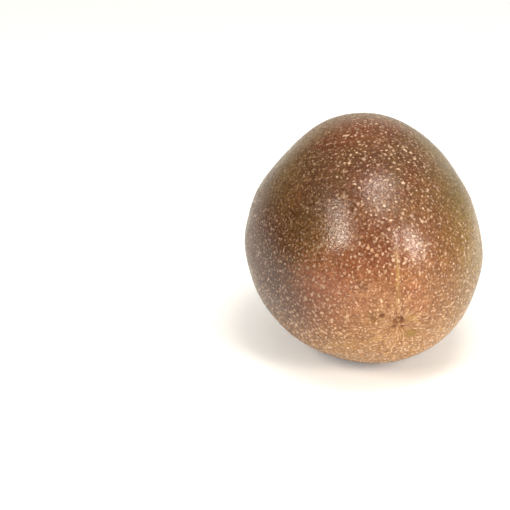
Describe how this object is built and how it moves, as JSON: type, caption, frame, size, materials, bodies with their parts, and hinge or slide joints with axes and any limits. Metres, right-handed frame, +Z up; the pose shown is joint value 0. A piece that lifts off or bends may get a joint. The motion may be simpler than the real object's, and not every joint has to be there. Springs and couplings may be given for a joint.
{
  "type": "passion fruit",
  "caption": "Whole ripe passion fruit lying on its side, egg-shaped with three low lobes, a dimpled blossom end and a stalk scar.",
  "frame": {"origin": "middle of the bottom of the fruit's box, on the surface that it rests on", "axes": "+Z up; +Y along the fruit's long axis seen from above, from the blossom end at -Y to the stem end at +Y"},
  "size_m": [0.0562, 0.0614, 0.0561],
  "materials": {
    "rind": "waxy satin skin, mottled brown purple with dense pale flecks"
  },
  "bodies": {
    "root": {"fruit": "rind"}
  },
  "joints": []
}
